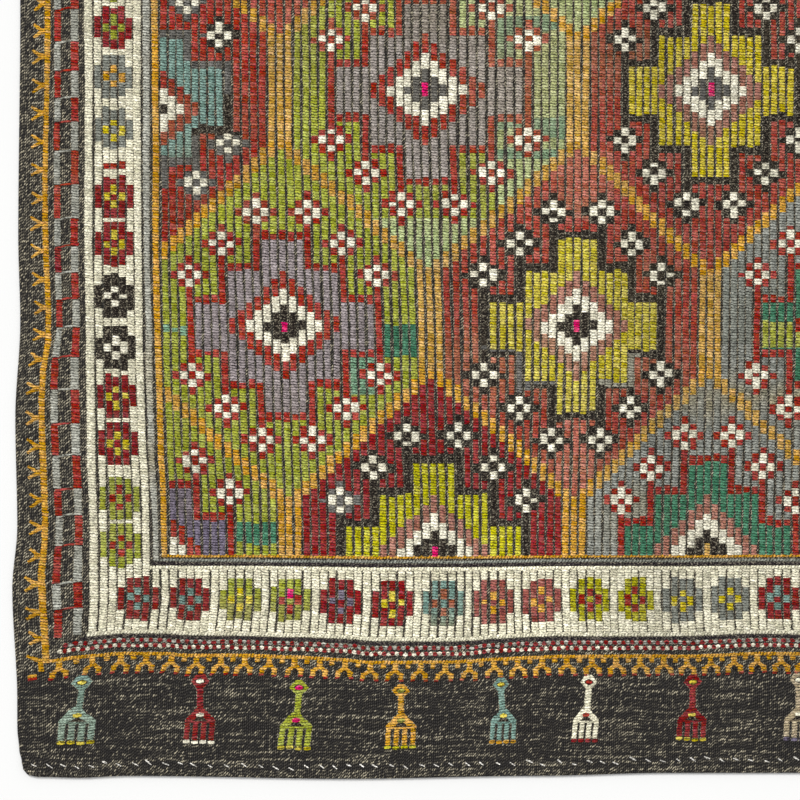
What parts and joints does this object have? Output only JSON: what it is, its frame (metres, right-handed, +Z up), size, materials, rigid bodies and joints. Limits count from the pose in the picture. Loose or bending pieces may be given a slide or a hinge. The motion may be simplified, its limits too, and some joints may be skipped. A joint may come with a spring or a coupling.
{
  "type": "jajim rug",
  "caption": "Flat-woven wool rug with ribbed brocade: hexagonal cells with stepped medallions, ivory rosette border, dark plain ends with comb motifs.",
  "frame": {"origin": "middle of the underside, on the floor", "axes": "+Y along the rug's length, parallel to the warp and the ribs; +X across it; +Z up from the floor"},
  "size_m": [1.7032, 2.806, 0.0042],
  "materials": {
    "ground_wool": "matte dark heathered handspun wool",
    "brocade_wool": "matte dyed handspun wool, in reds, greens, ochre, ivory, blue-grey and black",
    "hem_thread": "off-white cotton thread"
  },
  "bodies": {
    "root": {"jajim_rug": "ground_wool"}
  },
  "joints": []
}
